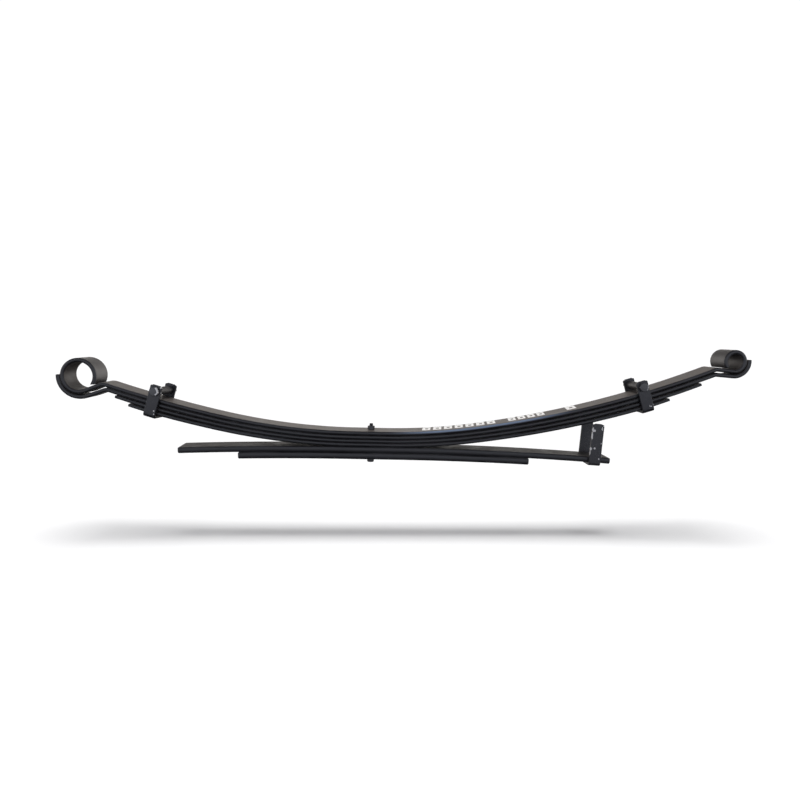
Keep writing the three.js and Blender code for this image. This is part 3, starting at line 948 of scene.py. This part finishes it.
def main_leaves(side):
    """One arm of the four main leaves, each from the centre bolt outwards."""
    arm = ARMS[side]
    eye, wrap = EYES[side]
    end = ENDS[side]
    bend = ("axle_seat", f"{end}_arm", (side * arm["seat"] * MM, 0, 0), (side * BEND_END[side] * MM, 0, 0))
    halves = (
        ("main_leaf", main_arm(arm, eye), main_paint if side > 0 else leaf_paint),
        ("wrapper_leaf", wrapper_arm(arm, eye, wrap), leaf_paint),
        ("third_leaf", tapered_arm(arm, 3, THIRD_LEAF[side]), leaf_paint),
        ("fourth_leaf", tapered_arm(arm, 4, FOURTH_LEAF[side]), leaf_paint),
    )
    for node, pairs, material in halves:
        builder = Builder()
        loft(builder, leaf_stations(pairs, side), 2.5)
        finish_piece(builder.make(f"{node}_{end}"), material, bend, node)


def helper_leaf(node, top, thick, ends):
    """A helper leaf in one piece, through both arms."""
    front, rear = (leaf_stations(helper_arm(top, thick, ends[side]), side) for side in ENDS)
    builder = Builder()
    loft(builder, front[::-1] + rear[1:], 2.6, end_round=3, round_start=True)
    finish_piece(builder.make(node + "_bar"), helper_paint, "axle_seat", node)


def centre_bolt():
    """A round locating head below with a shallow foot, and a thread above."""
    nut_base = PACK_TOP + FIT_GAP
    head_top = BOLT_HEAD_H - FIT_GAP
    foot = BOLT_HEAD_R - 2.4
    profile = [
        (0, 0.4),
        (foot, 0.4),
        (foot, 0),
        (BOLT_HEAD_R - 0.9, 0),
        (BOLT_HEAD_R, 1.1),
        (BOLT_HEAD_R, head_top),
        (0, head_top),
    ]
    upright = Matrix.Identity(4)
    bolt_top = nut_base + CENTRE_NUT_H + BOLT_STUB
    builder = Builder()
    lathe(builder, rounded(profile, 0.35), upright)
    threaded(builder, upright, BOLT_R, head_top - 0.2, bolt_top, 1.25, PACK_TOP - 2)
    finish_piece(builder.make("centre_bolt_turned"), bolt_paint, "axle_seat", "centre_bolt")
    builder = Builder()
    hexagon(builder, upright, CENTRE_NUT_FLATS, nut_base, nut_base + CENTRE_NUT_H, hole=BOLT_R + NUT_PLAY)
    finish_piece(builder.make("centre_nut_hex"), bolt_paint, "axle_seat", "centre_bolt_nut")


def rivet(matrix, head_top, end, name, body, node):
    """A domed head below, and a plain shank up to end."""
    profile = [(0, head_top - RIVET_HEAD_H)]
    for i in range(1, 10):
        angle = math.radians(10 * i)
        profile.append((RIVET_HEAD_R * math.sin(angle), head_top - RIVET_HEAD_H * math.cos(angle)))
    builder = Builder()
    lathe(builder, profile + [(RIVET_R, head_top), (RIVET_R, end), (0, end)], matrix)
    finish_piece(builder.make(name), rivet_paint, body, node)


def clip_bolt(side, place, bolt_z):
    """The bolt across the top of a clip, its nut at the back and its sleeve."""
    end, body = ENDS[side], f"{ENDS[side]}_arm"
    across = place @ Matrix.Translation((0, 0, bolt_z)) @ ALONG_Y
    nut_face = CLIP_INSIDE + CLIP_THICK + FIT_GAP
    nut_top = nut_face + CLIP_NUT_H
    head_top = -nut_face - CLIP_HEAD_H

    builder = Builder()
    turned = across @ Matrix.Rotation(HEAD_TURN, 4, "Z")
    hexagon(builder, turned, CLIP_FLATS, head_top, -nut_face, chamfer_high=False)
    threaded(builder, across, CLIP_BOLT_R, -nut_face - 0.5, nut_top + CLIP_STUB, 1.5, nut_face - 2)
    # painted highlights on the right of the head, laid on as bare-metal spots
    chips_and_highlights = []
    for x, z, size in HEAD_HIGHLIGHTS[side]:
        chips_and_highlights.append((tuple(place @ Vector((x, head_top, bolt_z + z))), size, (1, 0.25, 1)))
    head_paint_with_highlights = bolt_coat_and_highlights(f"{end}_bolt_coat_and_highlights", chips_and_highlights)
    finish_piece(builder.make(f"{end}_clip_hex_bolt"), head_paint_with_highlights, body, f"{end}_clip_bolt")

    builder = Builder()
    hexagon(builder, across, CLIP_FLATS, nut_face, nut_top, hole=CLIP_BOLT_R + NUT_PLAY)
    finish_piece(builder.make(f"{end}_clip_hex_nut"), bolt_paint, body, f"{end}_clip_nut")

    builder = Builder()
    length, bore = CLIP_INSIDE - FIT_GAP, CLIP_BOLT_R + FIT_GAP
    tube = [(bore, -length), (CLIP_SLEEVE_R, -length), (CLIP_SLEEVE_R, length), (bore, length)]
    lathe(builder, rounded(tube, 0.6), across, closed=True)
    spacer = builder.make(f"{end}_clip_spacer")
    finish_piece(spacer, sleeve_paint, body, f"{end}_clip_sleeve")


def clip(side):
    """A strap round the pack, closed by its bolt and held by a rivet to the fourth leaf."""
    arm, end = ARMS[side], ENDS[side]
    body = f"{end}_arm"
    place = on_arm(arm, CLIP_AT[side]) @ Matrix.Rotation(math.radians(CLIP_TWIST[side]), 4, "Z")
    leaf_top = -top_depth(4, arm, CLIP_AT[side])
    bottom = leaf_top - LEAF_THICKS[3] - CLIP_UNDER - CLIP_THICK
    bolt_z = bottom + CLIP_BOLT_UP
    builder = Builder()
    strap(builder, place, CLIP_INSIDE, CLIP_THICK, CLIP_WIDTH, bottom, bolt_z + CLIP_EAR, CLIP_CORNER)
    strap_piece = builder.make(f"{end}_clip_bent_strap")
    finish_piece(strap_piece, clip_paint[side], body, f"{end}_clip_strap")
    clip_bolt(side, place, bolt_z)
    rivet(place, bottom - FIT_GAP, leaf_top - 1, f"{end}_clip_rivet_head", body, f"{end}_clip_rivet")


def tip_liners(side):
    arm, end = ARMS[side], ENDS[side]
    half = (arm["tip_gap"] - LINER_PLAY) / 2
    profile = rounded([(0, -half), (LINER_R, -half), (LINER_R, half), (0, half)], 0.3)
    for leaf, number, ends in (("third", 3, THIRD_LEAF), ("fourth", 4, FOURTH_LEAF)):
        node = f"{end}_{leaf}_tip_liner"
        builder = Builder()
        lathe(builder, profile, liner_frame(arm, number, ends[side]))
        finish_piece(builder.make(node + "_disc"), liner_plastic, f"{end}_arm", node)


def helper_guide():
    """The bracket under the upper helper leaf, whose sides keep the main pack in line."""
    place = helper_frame(GUIDE_AT)
    bottom = -UPPER_HELPER_THICK - FIT_GAP - GUIDE_THICK
    builder = Builder()
    top = bottom + GUIDE_HEIGHT
    strap(builder, place, GUIDE_INSIDE, GUIDE_THICK, GUIDE_WIDTH, bottom, top, GUIDE_CORNER)
    bracket = builder.make("helper_guide_bent")
    finish_piece(bracket, guide_paint, "axle_seat", "helper_guide_bracket")
    rivet(place, bottom - FIT_GAP, -1, "helper_guide_rivet_head", "axle_seat", "helper_guide_rivet")


for side in ENDS:
    main_leaves(side)
helper_leaf("upper_helper_leaf", UPPER_TOP, UPPER_HELPER_THICK, UPPER_HELPER)
helper_leaf("lower_helper_leaf", LOWER_TOP, LOWER_HELPER_THICK, LOWER_HELPER)
centre_bolt()
for side in ENDS:
    clip(side)
    tip_liners(side)
helper_guide()

# ---------------------------------------------------------------- camera, floor and light

# The spring leans by this much, in radians, where it stands, so camera, floor and sun lean against it.
LEAN = 0.0268
LEVEL = Matrix.Translation((0, 0, -0.0015)) @ Matrix.Rotation(-LEAN, 4, "Y")
YAW, PITCH = math.radians(2.57), math.radians(5.8)
CAMERA_AT = (0, -1.35, 0.265)
FLOOR_DROP = 0.147
FLOOR_RADIUS, BACKDROP_RADIUS = 29, 30
FLOOR_TILT = math.radians(0.8)  # brings the shadow level
# brightness of the surroundings by the height of the direction, from straight down to straight up
SKY = (
    (-1.0, 0.03),
    (-0.42, 0.06),
    (-0.22, 0.3),
    (-0.05, 1.5),
    (0.2, 1.45),
    (0.42, 0.3),
    (0.62, 0.09),
    (1.0, 0.07),
)
FRONT_TINT, BACK_TINT = (0.9, 0.94, 1.06, 1), (1.1, 1.05, 1.0, 1)
SUN_WIDTH = math.radians(33)


def add(name, data):
    obj = bpy.data.objects.new(name, data)
    bpy.context.collection.objects.link(obj)
    return obj


def add_camera():
    forward = Vector((math.sin(YAW) * math.cos(PITCH), math.cos(YAW) * math.cos(PITCH), -math.sin(PITCH)))
    right = Vector((math.cos(YAW), -math.sin(YAW), 0))
    upward = right.cross(forward)
    data = bpy.data.cameras.new("camera")
    data.sensor_width = 36
    data.lens = 30.06
    data.clip_start, data.clip_end = 0.05, 100
    camera = add("camera", data)
    pose = Matrix((right, upward, -forward)).transposed().to_4x4()
    pose.translation = Vector(CAMERA_AT)
    camera.matrix_world = LEVEL @ pose
    bpy.context.scene.camera = camera


def staged(name, material, create, **sizes):
    """A piece of the studio, made by a bmesh operator."""
    bm = bmesh.new()
    create(bm, **sizes)
    mesh = bpy.data.meshes.new(name)
    bm.to_mesh(mesh)
    bm.free()
    mesh.materials.append(material)
    obj = add(name, mesh)
    return obj


def floor_white():
    n = Nodes("floor_white")
    n.shader.inputs["Base Color"].default_value = (0.92, 0.92, 0.92, 1)
    n.shader.inputs["Roughness"].default_value = 0.95
    n.shader.inputs["Specular IOR Level"].default_value = 0
    return n.material


def backdrop_white():
    material = bpy.data.materials.new("backdrop_white")
    material.use_nodes = True
    tree = material.node_tree
    tree.nodes.clear()
    glow = tree.nodes.new("ShaderNodeEmission")
    glow.inputs["Strength"].default_value = 1.05
    tree.links.new(glow.outputs[0], tree.nodes.new("ShaderNodeOutputMaterial").inputs[0])
    return material


def hide_from(obj, *rays):
    for ray in rays:
        setattr(obj, f"visible_{ray}", False)


def surroundings():
    """A bright band round the horizon, darker above and below, a little cooler in front than behind."""
    world = bpy.data.worlds.new("studio")
    bpy.context.scene.world = world
    world.use_nodes = True
    tree = world.node_tree
    direction = tree.nodes.new("ShaderNodeTexCoord")
    split = tree.nodes.new("ShaderNodeSeparateXYZ")
    tree.links.new(direction.outputs["Generated"], split.inputs[0])

    def ramp_over(axis):
        """A colour ramp whose 0 to 1 is the direction's -1 to 1 along an axis."""
        spread_out = tree.nodes.new("ShaderNodeMapRange")
        spread_out.inputs["From Min"].default_value = -1
        tree.links.new(split.outputs[axis], spread_out.inputs["Value"])
        ramp = tree.nodes.new("ShaderNodeValToRGB")
        tree.links.new(spread_out.outputs[0], ramp.inputs[0])
        return ramp

    sky = ramp_over("Z")
    elements = sky.color_ramp.elements
    while len(elements) < len(SKY):
        elements.new(0.5)
    for element, (height, tone) in zip(elements, SKY):
        element.position = 0.5 + height / 2
        element.color = (tone, tone, tone, 1)
    tint = ramp_over("Y")
    for element, colour in zip(tint.color_ramp.elements, (FRONT_TINT, BACK_TINT)):
        element.color = colour
    product = tree.nodes.new("ShaderNodeVectorMath")
    product.operation = "MULTIPLY"
    tree.links.new(sky.outputs[0], product.inputs[0])
    tree.links.new(tint.outputs[0], product.inputs[1])
    tree.links.new(product.outputs[0], tree.nodes["Background"].inputs[0])


def overhead_sun():
    data = bpy.data.lights.new("overhead", "SUN")
    data.energy = 2.8
    data.angle = SUN_WIDTH
    sun = add("overhead", data)
    sun.rotation_mode = "QUATERNION"
    sun.rotation_quaternion = Vector((-LEAN, 0, 1)).to_track_quat("Z", "Y")
    hide_from(sun, "glossy")


add_camera()
create = bmesh.ops.create_circle
floor = staged("floor", floor_white(), create, cap_ends=True, radius=FLOOR_RADIUS, segments=96)
floor.matrix_world = LEVEL @ Matrix.Translation((0, 0, -FLOOR_DROP)) @ Matrix.Rotation(FLOOR_TILT, 4, "Y")
hide_from(floor, "diffuse", "glossy")
create = bmesh.ops.create_uvsphere
sizes = {"u_segments": 48, "v_segments": 24, "radius": BACKDROP_RADIUS}
backdrop = staged("backdrop", backdrop_white(), create, **sizes)
hide_from(backdrop, "diffuse", "glossy", "transmission", "volume_scatter", "shadow")
surroundings()
overhead_sun()

bpy.context.scene.view_settings.view_transform = "Standard"
